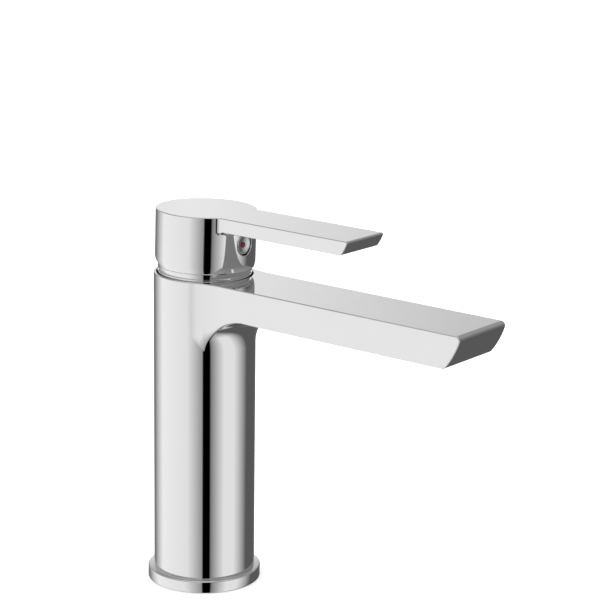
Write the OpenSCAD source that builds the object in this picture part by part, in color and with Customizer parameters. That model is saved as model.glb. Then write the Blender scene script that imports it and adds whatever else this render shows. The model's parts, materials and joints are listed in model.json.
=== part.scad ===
// Single-lever basin mixer tap. Millimetres, +Z up, origin at the centre of the foot
// on the deck, spout and lever towards -Y, hot side towards -X.

/* [Body] */
// Diameter of the column
body_d = 41.6; // [40:0.1:44]
// Height of the sloping top face on the column's axis
body_h = 129.75; // [120:0.25:140]
// Fall of the top faces towards the front, degrees
slope = 1.45; // [0:0.05:4]
// Hollow inside the column's lower part, diameter
hollow_d = 35.6; // [32:0.2:37]
// Height where the hollow ends and the inlet block starts
block_z = 80; // [60:1:90]

/* [Foot ring] */
// Diameter of the foot ring
ring_d = 46.5; // [44:0.5:52]
// Height of the foot ring
ring_h = 5; // [3:0.5:8]

/* [Spout] */
// Width of the spout
spout_w = 32.6; // [28:0.2:36]
// Thickness of the spout
spout_t = 13.4; // [11:0.1:16]
// Reach of the spout's top corner before it is rounded
spout_l = 133.3; // [110:0.1:160]
// Radius of the sweep between the underside and the column
sweep_r = 15; // [4:0.5:18]
// Radius of the blend between the sides and the column, seen from above
side_r = 34; // [4:0.5:50]
// Distance from the column's axis to the aerator
aerator_y = 112; // [95:1:118]
// Diameter of the aerator's thread
aerator_d = 22; // [18:0.5:24]

/* [Lever] */
// Diameter of the lever head
head_d = 40.8; // [39:0.1:42]
// Height of the head's top above the column's top
head_h = 26.3; // [20:0.1:30]
// Height of the head's lower edge above the column's top
head_gap = 2.9; // [2:0.1:4]
// Width of the lever
lever_w = 24.6; // [18:0.1:28]
// Thickness of the lever
lever_t = 5.7; // [4:0.1:8]
// Reach of the lever's tip
lever_l = 78.3; // [60:0.1:95]
// Lift of the lever, degrees
lift = 18; // [10:1:20]
// Diameter of the ball-shaped skirt under the head
skirt_d = 38.6; // [37:0.1:39]
// Height of the index plug
plug_w = 14.3; // [12:0.1:16]

/* [Cartridge] */
// Diameter of the cartridge
cart_d = 24.8; // [24:0.1:26]
// Level of the cartridge's seat, measured from the column's top
seat_w = -22.4; // [-26:0.1:-20]
// Level of the tilt pivot above the column's top
pivot_w = 1.2; // [0:0.1:3]
// Length of the stem's lower arm
arm = 9.5; // [8:0.1:11]

/* [Hidden] */
$fn = 96;
body_r = body_d / 2;
hollow_r = hollow_d / 2;
ring_r = ring_d / 2;
sp_hw = spout_w / 2;
head_r = head_d / 2;
lev_hw = lever_w / 2;
skirt_r = skirt_d / 2;
cart_r = cart_d / 2;
mouth_r = skirt_r + 0.4;
mouth_w = -6.9;
collar_r = 15.6;
thread_r = 13.5;
aer_r = aerator_d / 2;
port_x = 8;
stud_y = 9.6;
plug_r = 4.5;
e = 0.01;

// ---------------------------------------------------------------- helpers

// The sloping frame: origin on the axis at the column's top, axis square to the top face
module at_top() {
    translate([0, 0, body_h]) rotate([slope, 0, 0]) children();
}

module level(w) {
    at_top() translate([0, 0, w]) children();
}

// Round rod between two points
module rod(a, b, r) {
    d = b - a;
    l = norm(d);
    translate(a) rotate([0, acos(d[2] / l), atan2(d[1], d[0])]) cylinder(r = r, h = l);
}

// Torus ring
module ring_cord(rm, rc) {
    rotate_extrude() translate([rm, 0]) circle(r = rc);
}

// Outline of a round head with a straight strip towards -Y and blended corners
module strip_plan(r, hw, l, f) {
    cy = sqrt(pow(r + f, 2) - pow(hw + f, 2));
    k = r / (r + f);
    circle(r = r);
    translate([-hw, -l]) square([2 * hw, l]);
    difference() {
        for (s = [-1, 1])
            polygon([[0, 0], [s * (hw + f) * k, -cy * k], [s * (hw + f), -cy],
                     [s * hw, -cy], [0, -cy]]);
        for (s = [-1, 1]) translate([s * (hw + f), -cy]) circle(r = f);
    }
}

// Side outline of a flat arm: x runs forward, y is up from the arm's top face.
// The end leans back by `back` and bulges with radius `R`; the top corner is rounded `r`
module arm_profile(l, t, back, R, r) {
    ch = sqrt(back * back + t * t);
    mx = l - back / 2;
    hh = sqrt(R * R - ch * ch / 4);
    cx = mx - hh * t / ch;
    cy = -t / 2 + hh * back / ch;
    fx = cx + sqrt(pow(R - r, 2) - pow(-r - cy, 2));
    ux = (fx - cx) / (R - r);
    uy = (-r - cy) / (R - r);
    difference() {
        intersection() {
            translate([0, -t]) square([l + 5, t]);
            union() {
                translate([0, -t]) square([l - back - 3, t]);
                translate([cx, cy]) circle(r = R);
            }
        }
        difference() {
            polygon([[fx, -r], [fx, 1], [l + 4, 1], [l + 4, cy + uy * R],
                     [cx + ux * R, cy + uy * R]]);
            translate([fx, -r]) circle(r = r);
        }
    }
}

module arm_solid(hw, l, t, back, R, r) {
    rotate([90, 0, -90]) translate([0, 0, -hw]) linear_extrude(2 * hw)
        arm_profile(l, t, back, R, r);
}

// Concave sweep that fills the corner under an arm, around a round column
module sweep_fill(r, f, z) {
    rotate_extrude() difference() {
        translate([r - 2, z - f]) square([f + 2, f + 0.5]);
        translate([r + f, z - f]) circle(r = f);
    }
}

// ---------------------------------------------------------------- body

module spout_outer() {
    intersection() {
        translate([0, 0, 110]) linear_extrude(22)
            strip_plan(body_r, sp_hw, spout_l + 5, side_r);
        level(0) arm_solid(sp_hw + 5, spout_l, spout_t, 6.6, 36, 2.4);
    }
    intersection() {
        translate([0, 0, 96]) linear_extrude(24)
            strip_plan(body_r, sp_hw, spout_l + 5, side_r);
        sweep_fill(body_r, sweep_r, body_h - spout_t - 0.82);
    }
}

module body_shell() difference() {
    union() {
        difference() {
            rotate_extrude() polygon([[0, ring_h], [body_r - 0.7, ring_h],
                [body_r, ring_h + 0.7], [body_r, body_h + 6], [0, body_h + 6]]);
            level(0) translate([-40, -40, 0]) cube([80, 80, 200]);
        }
        spout_outer();
    }
    // hollow for the hose tails, with a step for the foot ring's spigot
    cylinder(r = hollow_r, h = block_z);
    cylinder(r = 18.45, h = ring_h + 2.3);
    // inlet ports, stud hole and the two rising waterways
    for (s = [-1, 1]) {
        translate([s * port_x, 0, block_z - e]) cylinder(r = 4.6, h = 10);
        translate([s * port_x, 0, block_z + 9.95]) cylinder(r = 3, h = 2);
        rod([s * port_x, 0, block_z + 11], [s * 4.4, -1.84, body_h + seat_w + 0.6], 2);
    }
    translate([0, stud_y, block_z - e]) cylinder(r = 3.4, h = 14);
    // water chamber round the cartridge
    level(seat_w) cylinder(r = 18.2, h = -8.9 - seat_w);
    // cartridge pin holes in the seat
    for (p = [[-8, 5], [8, 5]]) level(seat_w - 1.7) translate(p) cylinder(r = 1.25, h = 2);
    // mouth that takes the skirt
    level(mouth_w) cylinder(r = mouth_r, h = 20);
    // passage from the chamber, and the channel in the spout
    level(-15.2) translate([-9, -24, 0]) cube([18, 10, 6.3]);
    level(-10.4) translate([-13.2, -123, 0]) cube([26.4, 100.6, 7.4]);
    // aerator seat
    level(-spout_t - 1) translate([0, -aerator_y, 0]) cylinder(r = aer_r, h = 10);
    // bore for the cartridge
    level(-14) cylinder(r = cart_r + 0.1, h = 20);
}

// Collar that carries the cartridge nut, standing inside the chamber and the mouth
module collar() level(-11.5) difference() {
    cylinder(r = collar_r - 1, h = 4);
    cylinder(r = cart_r + 0.1, h = 9);
}

module body_casting() color([0.80, 0.82, 0.84]) {
    body_shell();
    collar();
    level(-8) difference() {
        cylinder(r = collar_r, h = 6.5);
        cylinder(r = cart_r + 0.1, h = 9);
        translate([0, 0, 2.1]) cylinder(r = thread_r, h = 9);
    }
}

module base_ring() color([0.80, 0.82, 0.84]) rotate_extrude() difference() {
    union() {
        polygon([[17, 0], [ring_r - 0.6, 0], [ring_r, 0.6], [ring_r, ring_h - 0.3],
                 [ring_r - 0.3, ring_h], [17, ring_h]]);
        translate([17, ring_h - 1]) square([1.4, 3]);
    }
    translate([18.9, -1]) square([3, 2.4]);
}

module base_seal() color([0.12, 0.12, 0.13]) rotate_extrude()
    translate([18.9, 0]) square([3, 1.4]);

// ---------------------------------------------------------------- cartridge

module cartridge_base() color([0.90, 0.90, 0.88]) level(seat_w) difference() {
    union() {
        cylinder(r = cart_r, h = 6);
        for (p = [[-8, 5], [8, 5]]) translate([p[0], p[1], -1.5]) cylinder(r = 1.2, h = 2);
    }
    // inlets with their seal recesses
    for (s = [-1, 1]) translate([s * 4.4, -2.4, -1]) cylinder(r = 2, h = 9);
    for (s = [-1, 1]) translate([s * 4.4, -2.4, -1]) cylinder(r = 3.9, h = 2.4);
    // outlet, leaving through the back of the wall
    translate([0, 5.2, 1.6]) cylinder(r = 2.2, h = 9);
    translate([-2.2, 5.2, 1.6]) cube([4.4, 12, 3]);
    // groove for the disc gasket
    translate([0, 0, 5.4]) difference() {
        cylinder(r = 10.2, h = 2);
        translate([0, 0, -1]) cylinder(r = 8.6, h = 4);
    }
}

module inlet_seals() color([0.12, 0.12, 0.13]) level(seat_w + 0.7)
    for (s = [-1, 1]) translate([s * 4.4, -2.4, 0]) ring_cord(3.1, 0.7);

module disc_gasket() color([0.12, 0.12, 0.13]) level(seat_w + 5.4) difference() {
    cylinder(r = 10.1, h = 0.6);
    translate([0, 0, -1]) cylinder(r = 8.7, h = 3);
}

module fixed_disc() color([0.95, 0.94, 0.90]) level(seat_w + 6) difference() {
    cylinder(r = 10.8, h = 3);
    for (s = [-1, 1]) translate([s * 4.4, -2.4, -1]) cylinder(r = 2, h = 6);
    translate([0, 5.2, -1]) cylinder(r = 2.2, h = 6);
}

module moving_disc() color([0.95, 0.94, 0.90]) level(seat_w + 9) difference() {
    cylinder(r = 7.6, h = 2.4);
    translate([0, 2, -1]) cylinder(r = 4.2, h = 2.2);
    for (s = [-1, 1]) translate([s * 5.2, 3.4, 1.4]) cylinder(r = 0.8, h = 3);
}

module disc_carrier() color([0.25, 0.27, 0.30]) level(seat_w + 11.4) {
    difference() {
        translate([-6, -5.2, 0]) cube([12, 11.2, 3.2]);
        translate([0, 0, 0.6]) cylinder(r = 2.05, h = 6);
    }
    for (s = [-1, 1]) translate([s * 5.2, 3.4, -1]) cylinder(r = 0.8, h = 2);
}

module cartridge_housing() color([0.90, 0.90, 0.88]) at_top() difference() {
    union() {
        translate([0, 0, seat_w + 6]) cylinder(r = cart_r, h = -5.8 - seat_w - 6);
        translate([0, 0, -7]) cylinder(r = 10.3, h = 8.9);
    }
    translate([0, 0, seat_w]) cylinder(r = 11, h = -7.6 - seat_w);
    translate([0, 0, -9]) cylinder(r = 8.97, h = 20);
    // groove of the housing seal
    translate([0, 0, -10.9]) difference() {
        cylinder(r = 20, h = 1.6);
        translate([0, 0, -1]) cylinder(r = cart_r - 0.9, h = 4);
    }
}

module housing_seal() color([0.12, 0.12, 0.13]) level(-10.1) rotate_extrude()
    translate([cart_r - 0.4, 0]) intersection() {
        circle(r = 0.8);
        translate([-0.5, -1]) square([1, 2]);
    }

module rotor() color([0.30, 0.32, 0.36]) at_top() difference() {
    union() {
        translate([0, 0, -10.9]) cylinder(r = 10.93, h = 3.2);
        translate([0, 0, -8]) cylinder(r = 8.9, h = 11.5);
    }
    // slide for the disc carrier
    translate([-6.06, -8.4, -12]) cube([12.12, 14.6, 5.4]);
    // slot for the stem
    translate([-3.56, -5.2, -7]) cube([7.12, 10.2, 20]);
    translate([-9.2, 0, pivot_w]) rotate([0, 90, 0]) cylinder(r = 1.5, h = 18.4);
}

module pivot_pin() color([0.70, 0.72, 0.74]) level(pivot_w)
    translate([-8.6, 0, 0]) rotate([0, 90, 0]) cylinder(r = 1.5, h = 17.2);

module lever_stem() color([0.78, 0.70, 0.45]) level(pivot_w) difference() {
    union() {
        translate([-3.5, -3.5, -4.2]) cube([7, 7, 22]);
        translate([0, 0, -arm]) cylinder(r = 1.2, h = arm);
        translate([0, 0, -arm]) sphere(r = 2);
    }
    translate([-9, 0, 0]) rotate([0, 90, 0]) cylinder(r = 1.55, h = 18);
}

module cartridge_nut() color([0.78, 0.66, 0.36]) at_top() difference() {
    union() {
        translate([0, 0, -5.2]) cylinder(r = thread_r, h = 4);
        translate([0, 0, -1.5]) cylinder(r = 14.3, h = 2.2, $fn = 6);
    }
    translate([0, 0, -9]) cylinder(r = 10.6, h = 20);
}

module glide_ring() color([0.92, 0.90, 0.80]) level(-5.8) difference() {
    cylinder(r = 12.4, h = 0.6);
    translate([0, 0, -1]) cylinder(r = 10.4, h = 3);
}

// ---------------------------------------------------------------- lever head

// Space swept by the column's rim when the head is tilted, behind the pivot
module tilt_relief() level(pivot_w)
    rotate([lift + 1.2, 0, 0]) translate([-30, 0, -30]) cube([60, 40, 30]);

module neck_skirt() color([0.80, 0.82, 0.84]) level(pivot_w) intersection() {
    difference() {
        sphere(r = skirt_r);
        sphere(r = skirt_r - 1.2);
    }
    // lower edge, slanted so that it stays in the mouth over the whole lift
    rotate([lift / 2, 0, 0]) translate([-30, -30, -4.6]) cube([60, 60, 30]);
    translate([-30, -30, -20]) cube([60, 60, 26.8]);
}

module lever_head() color([0.80, 0.82, 0.84]) difference() {
    union() {
        at_top() rotate_extrude() polygon([[0, head_gap], [head_r - 1, head_gap],
            [head_r, head_gap + 1.5], [head_r, head_h], [0, head_h]]);
        intersection() {
            at_top() linear_extrude(40) strip_plan(head_r, lev_hw, lever_l + 5, 3);
            level(head_h) arm_solid(lev_hw + 2, lever_l, lever_t, 3, 20, 1);
        }
        intersection() {
            at_top() linear_extrude(40) strip_plan(head_r, lev_hw, lever_l + 5, 3);
            at_top() sweep_fill(head_r, 1.6, head_h - lever_t);
        }
    }
    // seat of the skirt
    intersection() {
        level(pivot_w) sphere(r = skirt_r);
        level(-20) cylinder(r = 30, h = 20 + pivot_w + 6.8);
    }
    tilt_relief();
    // cavity round the boss of the stem socket, with a rib for the set screw
    level(7.9) difference() {
        cylinder(r = 15.6, h = 14.4);
        translate([0, 0, -1]) cylinder(r = 7.6, h = 20);
        translate([-6, -20, 0.2]) cube([12, 20, 20]);
    }
    // square socket of the stem
    level(6) translate([-3.5, -3.5, 0]) cube([7, 7, 13]);
    // recess of the index plug and the set screw's thread
    level(plug_w) rotate([90, 0, 0]) {
        translate([0, 0, 17]) cylinder(r = plug_r, h = 8);
        cylinder(r = 2.5, h = 20);
    }
}

module set_screw() color([0.35, 0.36, 0.38]) level(plug_w) rotate([90, 0, 0]) difference() {
    translate([0, 0, 3.5]) cylinder(r = 2.5, h = 8);
    translate([0, 0, 8.5]) cylinder(r = 1.44, h = 5, $fn = 6);
}

module index_plug() color([0.80, 0.82, 0.84]) level(plug_w) rotate([90, 0, 0]) difference() {
    union() {
        translate([0, 0, 17]) cylinder(r = plug_r, h = 2);
        translate([0, 0, 13.8]) cylinder(r = 2.4, h = 4);
    }
    // dished face
    translate([0, 0, 27.2]) sphere(r = 9.2);
    translate([0, -0.7, 18.8]) sphere(r = 1.3);
}

module mark_half(s) level(plug_w - 0.7) intersection() {
    translate([0, -18.8, 0]) sphere(r = 1.3);
    translate([s < 0 ? -5 : 0, -25, -5]) cube([5, 10, 10]);
}

module hot_mark() color([0.55, 0.05, 0.07]) mark_half(-1);

module cold_mark() color([0.08, 0.15, 0.50]) mark_half(1);

// ---------------------------------------------------------------- aerator

module at_aerator() {
    level(-spout_t) translate([0, -aerator_y, 0]) children();
}

module aerator_housing() color([0.80, 0.82, 0.84]) at_aerator() difference() {
    cylinder(r = aer_r, h = 7);
    translate([0, 0, 0.8]) cylinder(r = 9.3, h = 8);
    translate([0, 0, -1]) cylinder(r = 8.5, h = 4);
    for (a = [0, 180]) rotate([0, 0, a]) translate([8.4, -1, -e]) cube([4, 2, 0.9]);
}

module aerator_gasket() color([0.12, 0.12, 0.13]) at_aerator() translate([0, 0, 7])
    difference() {
        cylinder(r = aer_r - 0.2, h = 2);
        translate([0, 0, -1]) cylinder(r = 8.2, h = 5);
    }

module aerator_screen() color([0.70, 0.72, 0.74]) at_aerator() translate([0, 0, 6.6])
    difference() {
        cylinder(r = 9.2, h = 0.4);
        for (i = [-3:3]) for (j = [-3:3])
            if (norm([i * 2.2, j * 2.2]) < 7.2)
                translate([i * 2.2, j * 2.2, -1]) cylinder(r = 0.7, h = 3);
    }

module aerator_insert() color([0.85, 0.86, 0.87]) at_aerator() difference() {
    translate([0, 0, 0.8]) cylinder(r = 9.2, h = 5.8);
    translate([0, 0, 3.2]) cylinder(r = 8.2, h = 5);
    for (i = [-3:3]) for (j = [-3:3])
        if (norm([i * 2.3, j * 2.3]) < 7)
            translate([i * 2.3 - 0.9, j * 2.3 - 0.9, 0]) cube([1.8, 1.8, 5]);
}

// ---------------------------------------------------------------- assembly

body_casting();
base_ring();
base_seal();
cartridge_base();
inlet_seals();
disc_gasket();
fixed_disc();
moving_disc();
disc_carrier();
cartridge_housing();
housing_seal();
rotor();
pivot_pin();
lever_stem();
cartridge_nut();
glide_ring();
neck_skirt();
lever_head();
set_screw();
index_plug();
hot_mark();
cold_mark();
aerator_housing();
aerator_gasket();
aerator_screen();
aerator_insert();
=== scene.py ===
"""Looks of the single-lever basin mixer tap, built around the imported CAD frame."""
import json
import math

import bmesh
import bpy
import numpy as np
from mathutils import Matrix, Vector


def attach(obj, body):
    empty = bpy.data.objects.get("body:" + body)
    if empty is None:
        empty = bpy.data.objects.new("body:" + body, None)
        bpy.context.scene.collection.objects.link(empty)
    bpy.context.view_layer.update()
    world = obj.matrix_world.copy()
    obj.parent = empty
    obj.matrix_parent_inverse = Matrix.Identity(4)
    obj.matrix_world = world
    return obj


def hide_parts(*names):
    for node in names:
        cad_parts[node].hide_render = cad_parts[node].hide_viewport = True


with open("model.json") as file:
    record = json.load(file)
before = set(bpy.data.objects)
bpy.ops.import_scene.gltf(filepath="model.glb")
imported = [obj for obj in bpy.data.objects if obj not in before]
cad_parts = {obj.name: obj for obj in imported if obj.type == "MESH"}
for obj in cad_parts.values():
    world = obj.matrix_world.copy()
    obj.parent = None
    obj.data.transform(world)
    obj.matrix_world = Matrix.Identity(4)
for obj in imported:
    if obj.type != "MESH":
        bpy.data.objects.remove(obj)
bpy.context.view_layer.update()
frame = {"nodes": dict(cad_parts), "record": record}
NODES = frame["nodes"]
scene = bpy.context.scene

# ------------------------------------------------------------------ camera

AZ, EL, ROLL = (math.radians(a) for a in (-53.681, 13.130, 0.729))
CAMERA_AT = Vector((-0.65171, -0.52710, 0.31361))
BACK = Vector((math.sin(AZ) * math.cos(EL), -math.cos(AZ) * math.cos(EL), math.sin(EL)))
RIGHT = Vector((math.cos(AZ), math.sin(AZ), 0))
UP = BACK.cross(RIGHT)
SIDE = math.cos(ROLL) * RIGHT + math.sin(ROLL) * UP
TOP = -math.sin(ROLL) * RIGHT + math.cos(ROLL) * UP


def make_camera():
    data = bpy.data.cameras.new("camera")
    data.lens, data.sensor_width = 126.8, 36
    data.clip_start, data.clip_end = 0.05, 50
    cam = bpy.data.objects.new("camera", data)
    scene.collection.objects.link(cam)
    cam.matrix_world = Matrix.Translation(CAMERA_AT) @ Matrix(
        [[SIDE[i], TOP[i], BACK[i]] for i in range(3)]).to_4x4()
    scene.camera = cam


make_camera()
scene.view_settings.view_transform = "Standard"


# ------------------------------------------------------------------ node helpers

class Tree:
    """Short way to write shader nodes."""

    def __init__(self, tree):
        self.t = tree
        tree.nodes.clear()

    def add(self, kind, **values):
        n = self.t.nodes.new(kind)
        for k, v in values.items():
            if hasattr(n, k) and k not in n.inputs:
                setattr(n, k, v)
            else:
                self.put(n.inputs[k], v)
        return n

    def put(self, socket, v):
        if isinstance(v, bpy.types.NodeSocket):
            self.t.links.new(v, socket)
        else:
            socket.default_value = v

    def math(self, op, *args, clamp=False):
        n = self.t.nodes.new("ShaderNodeMath")
        n.operation, n.use_clamp = op, clamp
        for i, a in enumerate(args):
            self.put(n.inputs[i], a)
        return n.outputs[0]

    def ramp(self, fac, stops, interpolation="LINEAR"):
        n = self.t.nodes.new("ShaderNodeValToRGB")
        n.color_ramp.interpolation = interpolation
        els = n.color_ramp.elements
        while len(els) > 1:
            els.remove(els[0])
        els[0].position = stops[0][0]
        els[0].color = grey(stops[0][1])
        for p, c in stops[1:]:
            els.new(p).color = grey(c)
        self.put(n.inputs[0], fac)
        return n.outputs[0]

    def mix(self, fac, a, b, kind="RGBA"):
        n = self.t.nodes.new("ShaderNodeMix")
        n.data_type = kind
        ins = [s for s in n.inputs if s.enabled]
        self.put(ins[0], fac)
        self.put(ins[1], a)
        self.put(ins[2], b)
        return [s for s in n.outputs if s.enabled][0]


def grey(c):
    return (c, c, c, 1) if not isinstance(c, tuple) else c


# ------------------------------------------------------------------ studio

# The studio that the chrome mirrors, as (degrees from the key direction, brightness) round the
# object: one softbox each side, a narrow black flag between them and a dim far side. It is
# fixed in the room and doesn't follow the camera. Diffuse surfaces see an even white room.
KEY = math.atan2(CAMERA_AT.y, CAMERA_AT.x)
PLAIN_LIGHT = 1.75
FLAG = [(-4, 0.0), (12, 0.0)]
WALL = [(-180, 0.2), (-150, 0.2), (-110, 0.9), (-40, 0.8), (-5, 0.3)] + FLAG + [
    (14, 0.2), (45, 0.8), (70, 0.8), (110, 0.1), (150, 0.1), (180, 0.2)]
# above the horizon: a dim room with a bright backdrop opposite the key
ROOM = [(-180, 0.85), (-160, 0.4), (-5, 0.4)] + FLAG + [(14, 0.2), (160, 0.2), (180, 0.85)]


def make_world():
    world = bpy.data.worlds.new("studio")
    scene.world = world
    world.use_nodes = True
    t = Tree(world.node_tree)
    coord = t.add("ShaderNodeTexCoord").outputs["Generated"]
    turn = t.add("ShaderNodeVectorRotate", rotation_type="Z_AXIS", Vector=coord, Angle=-KEY)
    xyz = t.add("ShaderNodeSeparateXYZ", Vector=turn.outputs[0])
    angle = t.math("ARCTAN2", xyz.outputs[1], xyz.outputs[0])
    part = t.math("MULTIPLY_ADD", angle, 1 / (2 * math.pi), 0.5)
    wall, room = [t.ramp(part, [((a + 180) / 360, v) for a, v in band])
                  for band in (WALL, ROOM)]
    el = t.math("MULTIPLY", t.math("ARCSINE", xyz.outputs[2]), 180 / math.pi)

    def rise(lo, hi):
        return t.math("DIVIDE", t.math("SUBTRACT", el, float(lo)), float(hi - lo), clamp=True)

    colour = t.mix(rise(0, 10), wall, room)
    # dim between the backdrop and the overhead softbox, dark straight below
    colour = t.mix(rise(15, 30), colour, t.mix(rise(45, 70), grey(0.3), grey(0.85)))
    colour = t.mix(rise(-85, -60), grey(0.1), colour)
    glossy = t.add("ShaderNodeLightPath").outputs["Is Glossy Ray"]
    mirror = t.add("ShaderNodeBackground", Color=colour, Strength=1.0)
    plain = t.add("ShaderNodeBackground", Color=grey(1.0), Strength=PLAIN_LIGHT)
    both = t.add("ShaderNodeMixShader", Fac=glossy)
    t.put(both.inputs[1], plain.outputs[0])
    t.put(both.inputs[2], mirror.outputs[0])
    t.add("ShaderNodeOutputWorld", Surface=both.outputs[0])


make_world()


def make_floor():
    mesh = bpy.data.meshes.new("floor")
    s = 30
    mesh.from_pydata([(-s, -s, 0), (s, -s, 0), (s, s, 0), (-s, s, 0)], [], [(0, 1, 2, 3)])
    floor = bpy.data.objects.new("floor", mesh)
    scene.collection.objects.link(floor)
    mat = bpy.data.materials.new("floor")
    mat.use_nodes = True
    t = Tree(mat.node_tree)
    p = t.add("ShaderNodeBsdfPrincipled", **{"Base Color": grey(0.86), "Roughness": 0.9,
                                             "Specular IOR Level": 0.0})
    t.add("ShaderNodeOutputMaterial", Surface=p.outputs[0])
    mesh.materials.append(mat)
    floor.visible_glossy = False


make_floor()


# ------------------------------------------------------------------ shapes as distance fields
# Lengths here are millimetres. The head, the mouth and the arms share a frame that
# leans forward with the top faces: f runs forward, w up, square to the top faces.

LEAN = math.radians(1.45)
SN, CS = math.sin(LEAN), math.cos(LEAN)
TOP_Z = 129.75
PIVOT_W = 1.2
PLUG_W = 14.3
LIFT = math.radians(18)


def leaned(y, z):
    return -(y * CS + (z - TOP_Z) * SN), -y * SN + (z - TOP_Z) * CS


def unleaned(f, w):
    return -f * CS - w * SN, TOP_Z - f * SN + w * CS


def cut(a, b, r):
    """Common part of two shapes, its edge rounded with radius r."""
    return (np.minimum(np.maximum(a, b), -r)
            + np.hypot(np.maximum(a + r, 0), np.maximum(b + r, 0)))


def join(a, b, r):
    """Two shapes together, the corner between them filled with radius r."""
    return (np.maximum(np.minimum(a, b), r)
            - np.hypot(np.maximum(r - a, 0), np.maximum(r - b, 0)))


def soft_min(a, b, k):
    h = np.maximum(k - np.abs(a - b), 0) / k
    return np.minimum(a, b) - h * h * k / 4


def step(x, a, b):
    t = np.clip((x - a) / (b - a), 0, 1)
    return t * t * (3 - 2 * t)


def plan(x, f, r, hw, fr):
    """Outline seen from above: a disc with a straight strip forward and blended corners."""
    ax = np.abs(x)
    cy = math.sqrt((r + fr) ** 2 - (hw + fr) ** 2)
    disc = np.hypot(ax, f) - r
    strip = np.where(f > 0, ax - hw, np.hypot(np.maximum(ax - hw, 0), f))
    both = np.minimum(disc, strip)
    zone = (f > 0) & (f < cy) & (ax * cy < (hw + fr) * f) & (ax < hw + fr)
    blend = fr - np.hypot(ax - (hw + fr), f - cy)
    return np.where(zone, np.minimum(both, blend), both)


def tip(f, w, reach, t, back, big):
    """Bulging end of an arm whose lower edge lies back."""
    ch = math.hypot(back, t)
    hh = math.sqrt(big * big - ch * ch / 4)
    cf, cw = reach - back / 2 - hh * t / ch, -t / 2 + hh * back / ch
    return np.hypot(np.maximum(f - cf, 0), w - cw) - big


def arm(x, y, z, f, w, s):
    """Round column or head with a flat arm forward. s holds its sizes; w starts at the top."""
    side = plan(x, -y if s["upright"] else f, s["r"], s["hw"], s["blend"])
    # the flats are polished to a faint crown
    bow = np.clip(2 * w / s["t"] + 1, -1, 1) ** 2 * step(f, s["r"], s["r"] + 18)
    side = side + s["crown"] * bow
    end = tip(f, w, s["reach"], s["t"], s["back"], s["big"])
    low = cut(-s["t"] - w, end, s["low_r"])
    core = np.hypot(x, y if s["upright"] else f) - s["r"]
    soft = s["edge"] + (s["soft"] - s["edge"]) * step(f, s["r"] + 24, s["r"] + 1)
    slab = cut(cut(low, w, s["top_r"]), side,
               np.where(w < -s["t"] / 2, soft, s["edge"]))
    filled = join(core, low, s["sweep"])
    sweep = np.maximum(cut(filled, side, soft), w + s["t"] * 0.3)
    body = cut(core, w, s["edge"])
    # melt the corner into the column, only where the sweep really adds metal
    added = np.minimum(core, low) - filled
    k = 0.02 + (np.minimum(s["meld"], added) * step(w, -s["t"] - 1, -s["t"] - 8)
                * step(core - side, 0, 1))
    return soft_min(np.minimum(body, slab), sweep, k)


SPOUT = dict(upright=True, r=20.8, hw=16.3, blend=34, reach=132.9, t=13.4, back=6.6, big=36,
             low_r=1.0, top_r=2.4, edge=0.4, soft=1.3, sweep=15, meld=2.5, crown=0.1)
LEVER = dict(upright=False, r=20.4, hw=12.3, blend=3, reach=78.3, t=5.7, back=3, big=20,
             low_r=0.5, top_r=1.0, edge=0.35, soft=0.5, sweep=1.6, meld=0.3, crown=0.04)


def body_shape(x, y, z):
    f, w = leaned(y, z)
    d = arm(x, y, z, f, w, SPOUT)
    rho, axis = np.hypot(x, y), np.hypot(x, f)
    d = cut(d, -np.maximum(axis - 19.7, -6.9 - w), 0.3)
    d = np.maximum(d, -np.maximum(axis - 12.6, -22.4 - w))
    d = np.minimum(d, np.maximum(np.abs(axis - 14.6) - 1.0, np.abs(w + 4.7) - 3.2))
    d = cut(d, -np.maximum(np.hypot(x, f - 112) - 11.05, w + 4.4), 0.25)
    d = cut(d, -np.maximum(rho - 17.8, z - 80), 0.4)
    d = np.maximum(d, -np.maximum(rho - 18.45, z - 7.3))
    return cut(d, 5 - z, 0.45)


def head_shape(x, y, z):
    f, w = leaned(y, z)
    d = arm(x, y, z, f, w - 26.3, LEVER)
    axis = np.hypot(x, f)
    # turned-in lower rim
    d = cut(d, 2.9 - w, 0.15)
    d = cut(d, np.where(w < 10, (axis - 19.9) * 0.94 - (w - 2.9) * 0.34, -9), 0.6)
    up, back = w - PIVOT_W, -f
    a = LIFT + math.radians(1.2)
    lean_y = back * math.cos(a) + up * math.sin(a)
    lean_z = -back * math.sin(a) + up * math.cos(a)
    d = cut(d, np.minimum(lean_y, -lean_z), 0.3)
    d = np.maximum(d, -np.maximum(np.sqrt(x * x + f * f + up * up) - 19.3, w - 8))
    recess = np.maximum(np.hypot(x, w - PLUG_W) - 4.5, 17 - f)
    d = cut(d, -recess, 0.25)
    # cavity round the stem's boss, with a rib for the set screw, and the stem's socket
    rib = np.maximum(np.maximum(np.abs(x) - 6, -f), 8.1 - w)
    cavity = np.maximum(np.maximum(axis - 15.6, 7.6 - axis), np.abs(w - 15.1) - 7.2)
    socket = np.maximum(np.maximum(np.abs(x), np.abs(f)) - 3.5, np.abs(w - 12.5) - 6.5)
    screw = np.maximum(np.hypot(x, w - PLUG_W) - 2.5, np.abs(f - 10) - 10)
    hollow = np.minimum(np.minimum(np.maximum(cavity, -rib), socket), screw)
    return np.maximum(d, -hollow)


# ------------------------------------------------------------------ meshes from the fields

def grid_line(*parts):
    """Grid positions from (end, step) pairs after a start value."""
    pos = [parts[0]]
    for end, gap in parts[1:]:
        n = max(1, round((end - pos[-1]) / gap))
        pos += list(np.linspace(pos[-1], end, n + 1)[1:])
    return np.array(pos)


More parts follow.
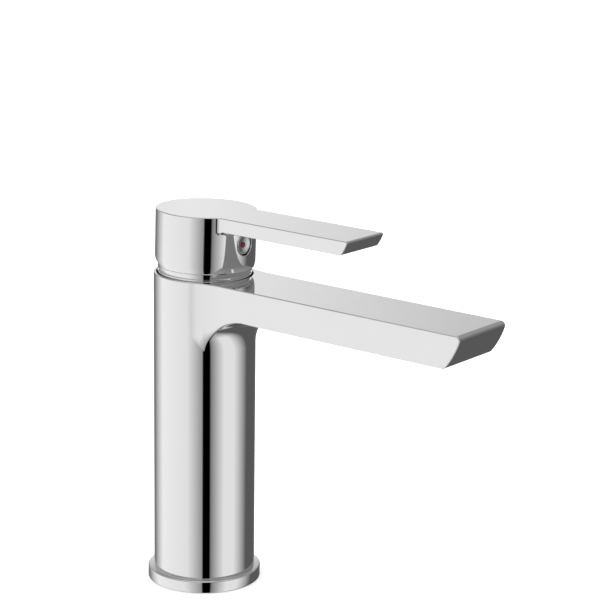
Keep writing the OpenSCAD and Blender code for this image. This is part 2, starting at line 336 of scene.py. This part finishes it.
def shape_mesh(name, shape, gx, gf, gw):
    """Closed mesh of the field's zero surface on a leaned grid, with exact normals."""
    size = (len(gx), len(gf), len(gw))
    fx, ff, fw = np.meshgrid(gx, gf, gw, indexing="ij")
    fy, fz = unleaned(ff, fw)
    field = shape(fx, fy, fz)
    inside = field < 0
    cells = tuple(n - 1 for n in size)
    count = np.zeros(cells, int)
    corners = [(i, j, k) for i in (0, 1) for j in (0, 1) for k in (0, 1)]

    def part(a, c):
        return a[c[0]:c[0] + cells[0], c[1]:c[1] + cells[1], c[2]:c[2] + cells[2]]

    for c in corners:
        count += part(inside, c)
    active = (count > 0) & (count < 8)
    number = -np.ones(cells, int)
    number[active] = np.arange(active.sum())
    grid = (fx, ff, fw)
    total = np.zeros((active.sum(), 3))
    hits = np.zeros(active.sum())
    for a in corners:
        for ax in range(3):
            if a[ax]:
                continue
            b = tuple(v + (i == ax) for i, v in enumerate(a))
            va, vb = part(field, a)[active], part(field, b)[active]
            cross = (va < 0) != (vb < 0)
            t = np.where(cross, va / np.where(cross, va - vb, 1), 0)
            for i in range(3):
                pa, pb = part(grid[i], a)[active], part(grid[i], b)[active]
                total[:, i] += np.where(cross, pa + t * (pb - pa), 0)
            hits += cross
    total /= hits[:, None]
    py, pz = unleaned(total[:, 1], total[:, 2])
    p = np.stack([total[:, 0], py, pz], 1)

    def slope(q, h=0.01):
        g = np.empty_like(q)
        for i in range(3):
            d = np.zeros(3)
            d[i] = h
            g[:, i] = (shape(*(q + d).T) - shape(*(q - d).T)) / (2 * h)
        return g

    start = p.copy()
    for _ in range(4):
        g = slope(p)
        move = -g * (shape(*p.T) / np.maximum((g * g).sum(1), 0.05))[:, None]
        p = p + move
        away = p - start
        far = np.linalg.norm(away, axis=1)
        p = start + away * np.minimum(1, 0.45 / np.maximum(far, 1e-9))[:, None]
    normals = slope(p)
    normals /= np.maximum(np.linalg.norm(normals, axis=1), 1e-9)[:, None]
    quads = []
    for ax in range(3):
        o1, o2 = (ax + 1) % 3, (ax + 2) % 3
        lo = [slice(None)] * 3
        hi = [slice(None)] * 3
        lo[ax], hi[ax] = slice(0, -1), slice(1, None)
        a, b = inside[tuple(lo)], inside[tuple(hi)]
        at = np.argwhere(a != b)
        at = at[(at[:, o1] > 0) & (at[:, o2] > 0) & (at[:, o1] < size[o1] - 1)
                & (at[:, o2] < size[o2] - 1)]
        flip = a[tuple(at.T)]  # f runs against y, so the grid is left-handed
        ring = []
        for d1, d2 in ((1, 1), (0, 1), (0, 0), (1, 0)):
            c = at.copy()
            c[:, o1] -= d1
            c[:, o2] -= d2
            ring.append(number[tuple(c.T)])
        q = np.stack(ring, 1)
        q[flip] = q[flip][:, ::-1]
        quads.append(q)
    quads = np.concatenate(quads)
    mesh = bpy.data.meshes.new(name)
    mesh.from_pydata((p / 1000).tolist(), [], quads.tolist())
    mesh.shade_smooth()
    mesh.normals_split_custom_set_from_vertices(normals.tolist())
    return mesh


# ------------------------------------------------------------------ meshes turned on a lathe

CREASE = math.radians(50)


def turned(name, profile, place, steps):
    """Ring from a closed profile of (radius, height) points off the axis; place puts its
    points where they belong."""
    rings, verts = [], []
    for r, h in profile:
        rings.append(list(range(len(verts), len(verts) + steps)))
        for i in range(steps):
            a = 2 * math.pi * i / steps
            verts.append((r * math.cos(a), r * math.sin(a), h))
    faces = []
    for lo, hi in zip(rings, rings[1:] + rings[:1]):
        for i in range(steps):
            j = (i + 1) % steps
            faces.append((lo[i], lo[j], hi[j], hi[i]))
    mesh = bpy.data.meshes.new(name)
    mesh.from_pydata([tuple(c / 1000 for c in place(*v)) for v in verts], [], faces)
    mesh.update()
    volume = sum(p.center.dot(p.normal) * p.area for p in mesh.polygons)
    if volume < 0:
        mesh.flip_normals()
    mesh.shade_smooth()
    mesh.set_sharp_from_angle(angle=CREASE)
    return mesh


def rounded(points, n=4):
    """A closed profile of (r, h, corner radius) points with its corners rounded."""
    out = []
    for i, (r, h, rad) in enumerate(points):
        q = Vector((r, h))
        after = points[(i + 1) % len(points)]
        a, b = Vector(points[i - 1][:2]) - q, Vector(after[:2]) - q
        la, lb = a.length, b.length
        a, b = a / la, b / lb
        half = math.acos(max(-1, min(1, a.dot(b)))) / 2
        reach = min(rad / math.tan(half), la * 0.49, lb * 0.49) if half < 1.56 else 0
        if rad <= 0 or reach < 1e-4:
            out.append(tuple(q))
            continue
        true = reach * math.tan(half)
        centre = q + (a + b).normalized() * (true / math.sin(half))
        s0, s1 = q + a * reach - centre, q + b * reach - centre
        turn = s0.angle_signed(s1)
        for k in range(n + 1):
            c, sn = math.cos(-turn * k / n), math.sin(-turn * k / n)
            out.append(tuple(centre + Vector((s0.x * c - s0.y * sn, s0.x * sn + s0.y * c))))
    return out


def upright(x, y, h):
    return x, y, h


def on_lean(x, y, h):
    return (x, *unleaned(-y, h))


def in_recess(x, y, h):
    """Lathe axis along the plug: h runs forward."""
    return (x, *unleaned(h, PLUG_W + y))


# ------------------------------------------------------------------ materials

def start(name):
    mat = bpy.data.materials.new(name)
    mat.use_nodes = True
    t = Tree(mat.node_tree)
    return mat, t, t.add("ShaderNodeTexCoord").outputs["Object"]


def end(t, shader, height, depth):
    bump = t.add("ShaderNodeBump", Strength=1.0, Distance=depth, Height=height)
    t.put(shader.inputs["Normal"], bump.outputs[0])
    t.add("ShaderNodeOutputMaterial", Surface=shader.outputs[0])


def noise(t, coord, scale, detail=3.0, rough=0.5):
    return t.add("ShaderNodeTexNoise", Vector=coord, Scale=scale, Detail=detail,
                 Roughness=rough).outputs["Fac"]


def chrome(name, tone=0.93, rough=0.035, wave=1.2e-6):
    """Polished chrome plate: faint polishing waves, haze and hairline wiping marks."""
    mat, t, coord = start(name)
    haze = noise(t, coord, 55.0, 5.0, 0.6)
    stretched = t.add("ShaderNodeMapping", Vector=coord, Scale=(900.0, 900.0, 60.0)).outputs[0]
    hair = noise(t, stretched, 1.0, 2.0)
    colour = t.mix(haze, grey(tone - 0.025), grey(tone + 0.01))
    fine = t.math("MULTIPLY_ADD", hair, rough * 0.5, rough * 0.45)
    r = t.math("MULTIPLY_ADD", haze, rough * 0.7, fine)
    p = t.add("ShaderNodeBsdfPrincipled", **{"Base Color": colour, "Metallic": 1.0,
                                             "Roughness": r})
    end(t, p, noise(t, coord, 95.0, 2.0), wave)
    return mat


def machined(name, colour, rough, rings=900.0):
    """Turned metal: fine tool rings and a little tarnish."""
    mat, t, coord = start(name)
    tarnish = noise(t, coord, 120.0, 4.0)
    dark = tuple(c * 0.78 for c in colour) + (1,)
    tint = t.mix(tarnish, dark, colour + (1,))
    lines = t.add("ShaderNodeTexWave", wave_type="BANDS", bands_direction="Z", Vector=coord,
                  Scale=rings, Distortion=1.5).outputs["Fac"]
    p = t.add("ShaderNodeBsdfPrincipled",
              **{"Base Color": tint, "Metallic": 1.0,
                 "Roughness": t.math("MULTIPLY_ADD", tarnish, 0.2, rough)})
    end(t, p, lines, 4e-6)
    return mat


def moulded(name, colour, rough, grain=700.0, depth=8e-6, spread=0.12, coat=0.0):
    """Moulded plastic, rubber or fired ceramic: fine grain and slight mottling."""
    mat, t, coord = start(name)
    mottle = noise(t, coord, 150.0, 4.0)
    tint = t.mix(mottle, tuple(c * (1 - spread) for c in colour) + (1,),
                 tuple(min(1, c * (1 + spread)) for c in colour) + (1,))
    p = t.add("ShaderNodeBsdfPrincipled",
              **{"Base Color": tint, "Roughness": t.math("MULTIPLY_ADD", mottle, 0.15, rough),
                 "Coat Weight": coat, "Coat Roughness": 0.05})
    end(t, p, noise(t, coord, grain, 2.0), depth)
    return mat


MATERIALS = {
    "chrome": chrome("chrome"),
    "brass": machined("brass", (0.78, 0.57, 0.25), 0.22),
    "steel": machined("steel", (0.62, 0.63, 0.65), 0.25),
    "dark_steel": machined("dark_steel", (0.20, 0.20, 0.21), 0.3),
    "rubber": moulded("rubber", (0.022, 0.022, 0.024), 0.55),
    "light_plastic": moulded("light_plastic", (0.72, 0.71, 0.67), 0.35),
    "dark_plastic": moulded("dark_plastic", (0.055, 0.06, 0.07), 0.35),
    "insert_plastic": moulded("insert_plastic", (0.50, 0.51, 0.52), 0.3),
    "disc_ceramic": moulded("disc_ceramic", (0.86, 0.85, 0.80), 0.12, 1500.0, 1e-6, 0.03, 0.3),
    "red_plastic": moulded("red_plastic", (0.16, 0.006, 0.012), 0.12, 900.0, 1e-6, 0.15, 0.6),
    "blue_plastic": moulded("blue_plastic", (0.01, 0.03, 0.16), 0.12, 900.0, 1e-6, 0.15, 0.6),
}
for part in frame["record"]["subparts"]:
    slots = NODES[part["node"]].data.materials
    slots.clear()
    slots.append(MATERIALS[part["material_slot"]])


# ------------------------------------------------------------------ pieces

def piece(name, mesh, body, slot, *nodes):
    obj = bpy.data.objects.new(name, mesh)
    scene.collection.objects.link(obj)
    mesh.materials.append(MATERIALS[slot])
    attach(obj, body)
    if nodes:
        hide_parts(*nodes)
    return obj


BODY_X = grid_line(-21.6, (-17.1, 0.45), (-15.5, 0.2), (15.5, 0.5), (17.1, 0.2), (21.6, 0.45))
BODY_F = grid_line(-21.6, (24, 0.45), (44, 0.8), (99, 2.5), (125, 0.8), (134.4, 0.35))
BODY_W = grid_line(-126.4, (-122.6, 0.4), (-118, 1.2), (-52, 11), (-48, 0.5), (-36, 2.4),
                   (-14.4, 0.6), (-12.2, 0.2), (-1.4, 0.9), (0.6, 0.16))
piece("body_chrome", shape_mesh("body_chrome", body_shape, BODY_X, BODY_F, BODY_W),
      "tap_body", "chrome", "body_casting")

HEAD_X = grid_line(-21.2, (-13.1, 0.45), (-11.5, 0.2), (11.5, 0.5), (13.1, 0.2), (21.2, 0.45))
HEAD_F = grid_line(-21.2, (16.4, 0.45), (21.4, 0.3), (26, 0.5), (72, 2.2), (79.4, 0.25))
HEAD_W = grid_line(0.2, (5.2, 0.3), (8.6, 0.6), (19.4, 0.4), (21.6, 0.2), (25.2, 0.6),
                   (26.9, 0.14))
piece("lever_chrome", shape_mesh("lever_chrome", head_shape, HEAD_X, HEAD_F, HEAD_W),
      "lever", "chrome", "lever_head")

# foot ring with its spigot and seal recess
piece("foot_ring_chrome", turned("foot_ring_chrome", rounded([
    (17.0, 0.0, 0.3), (18.9, 0.0, 0.1), (18.9, 1.4, 0.1), (21.9, 1.4, 0.1), (21.9, 0.0, 0.1),
    (23.25, 0.0, 0.4), (23.25, 5.0, 0.5), (18.4, 5.0, 0.1), (18.4, 7.0, 0.3), (17.0, 7.0, 0.3)]),
    upright, 192), "tap_body", "chrome", "base_ring")


# ball radius, wall, radius of the flattened middle, lower edge of the groove, lowest point
BALL, WALL, FLAT, GROOVE_W, SKIRT_LOW = 19.3, 1.2, 19.15, 0.7, -3.2


def ball_radius(ball, w):
    return math.sqrt(ball ** 2 - (w - PIVOT_W) ** 2)


def skirt_profile():
    """Ball zone about the pivot, flattened at its middle, with a shadow groove."""
    lower = [(min(ball_radius(BALL, w), FLAT), w, 0.0) for w in np.linspace(SKIRT_LOW, GROOVE_W, 9)]
    groove = [(18.3, 0.75, 0.0), (18.3, 1.9, 0.0)]
    upper = [(min(ball_radius(BALL, w), FLAT), w, 0.0) for w in np.linspace(1.95, 7.9, 14)]
    inner = [(ball_radius(BALL - WALL, w), w, 0.0) for w in np.linspace(7.9, SKIRT_LOW, 14)]
    return rounded(lower + groove + upper + inner)


def in_mouth(x, y, h):
    """Stretches the part below the groove to a slanted lower edge that stays in the mouth."""
    if h < GROOVE_W:
        r = math.hypot(x, y)
        low = PIVOT_W - 4.657 + 0.1584 * y  # falls towards the front by half the lift
        inside = r < ball_radius(BALL - WALL, h) + 0.3
        h = GROOVE_W + (h - GROOVE_W) * (GROOVE_W - low) / 3.9
        new = ball_radius(BALL - WALL, h) if inside else min(ball_radius(BALL, h), FLAT)
        x, y = x * new / r, y * new / r
    return on_lean(x, y, h)


piece("skirt_chrome", turned("skirt_chrome", skirt_profile(), in_mouth, 192),
      "lever", "chrome", "neck_skirt")

# index plug: rim, dished face and stalk
DISH = [(r, 19.45 - 0.45 * (1 - (r / 3.5) ** 2), 0.0) for r in np.linspace(3.5, 0.6, 8)]
piece("plug_chrome", turned("plug_chrome", rounded(
    [(0.6, 17.9, 0.0), (0.6, 13.8, 0.1), (2.4, 13.8, 0.2), (2.4, 17.0, 0.1), (4.05, 17.0, 0.1),
     (4.05, 19.7, 0.25), (3.6, 19.7, 0.15)] + DISH), in_recess, 96),
    "lever", "chrome", "index_plug")


def bead(name, sign):
    """Half of the dot in the plug's dish: a flattened ball cut by the plane x = 0."""
    rows, cols, size, depth = 14, 24, 1.25, 0.8
    verts, faces = [], []
    for i in range(rows + 1):
        a = math.pi * i / rows
        for j in range(cols + 1):
            b = math.pi * j / cols
            x = sign * (0.015 + size * math.sin(a) * math.sin(b))
            f, up = depth * math.sin(a) * math.cos(b), size * math.cos(a)
            y, z = unleaned(19.1 + f, PLUG_W - 0.3 + up)
            verts.append((x / 1000, y / 1000, z / 1000))
    n = cols + 1
    for i in range(rows):
        for j in range(cols):
            faces.append((i * n + j, i * n + j + 1, (i + 1) * n + j + 1, (i + 1) * n + j))
    # the flat side
    for i in range(rows):
        faces.append((i * n, (i + 1) * n, (i + 1) * n + cols, i * n + cols))
    mesh = bpy.data.meshes.new(name)
    bm = bmesh.new()
    made = [bm.verts.new(v) for v in verts]
    for face in faces:
        bm.faces.new([made[k] for k in face])
    bmesh.ops.remove_doubles(bm, verts=bm.verts, dist=1e-7)
    bmesh.ops.dissolve_degenerate(bm, edges=bm.edges, dist=1e-8)
    bmesh.ops.recalc_face_normals(bm, faces=bm.faces)
    bm.to_mesh(mesh)
    bm.free()
    mesh.shade_smooth()
    mesh.set_sharp_from_angle(angle=CREASE)
    return mesh


piece("hot_bead", bead("hot_bead", -1), "lever", "red_plastic", "hot_mark")
piece("cold_bead", bead("cold_bead", 1), "lever", "blue_plastic", "cold_mark")
